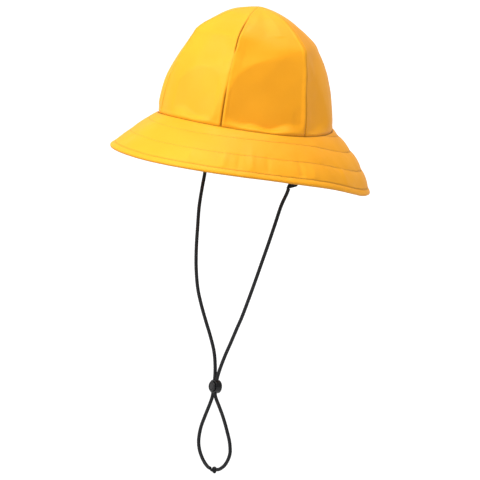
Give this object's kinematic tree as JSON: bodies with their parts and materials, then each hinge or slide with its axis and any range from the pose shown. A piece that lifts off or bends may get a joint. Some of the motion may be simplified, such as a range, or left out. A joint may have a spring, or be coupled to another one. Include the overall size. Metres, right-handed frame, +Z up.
{
  "type": "sou'wester hat",
  "caption": "Waterproof sou'wester rain hat with a gored crown, a sloping stitched brim that is longer at the back, and a chin cord with a push-button cord lock.",
  "frame": {"origin": "middle of the head opening, level with the seam between crown and brim", "axes": "+Z up through the crown, -Y to the front of the hat, +X to the wearer's left"},
  "size_m": [0.246, 0.3, 0.49],
  "materials": {
    "crown_cloth": "coated satin",
    "brim_cloth": "coated satin",
    "webbing": "matte",
    "cord": "braided matte",
    "lock_plastic": "satin"
  },
  "bodies": {
    "hat": {"crown_front": "crown_cloth", "crown_front_left": "crown_cloth", "crown_back_left": "crown_cloth", "crown_back": "crown_cloth", "crown_back_right": "crown_cloth", "crown_front_right": "crown_cloth", "brim": "brim_cloth", "cord_tab_left": "webbing", "cord_tab_right": "webbing", "chin_cord_left": "cord", "chin_cord_right": "cord", "cord_knot": "cord", "cord_lock_body": "lock_plastic"},
    "lock_button": {"cord_lock_button": "lock_plastic"}
  },
  "joints": [
    {"name": "button_press", "type": "slide", "parent": "hat", "child": "lock_button", "axis": [0.2588, 0.9659, 0], "range_m": [0, 0.0015], "stiffness_N_per_m": 600, "springref_m": -0.001}
  ]
}
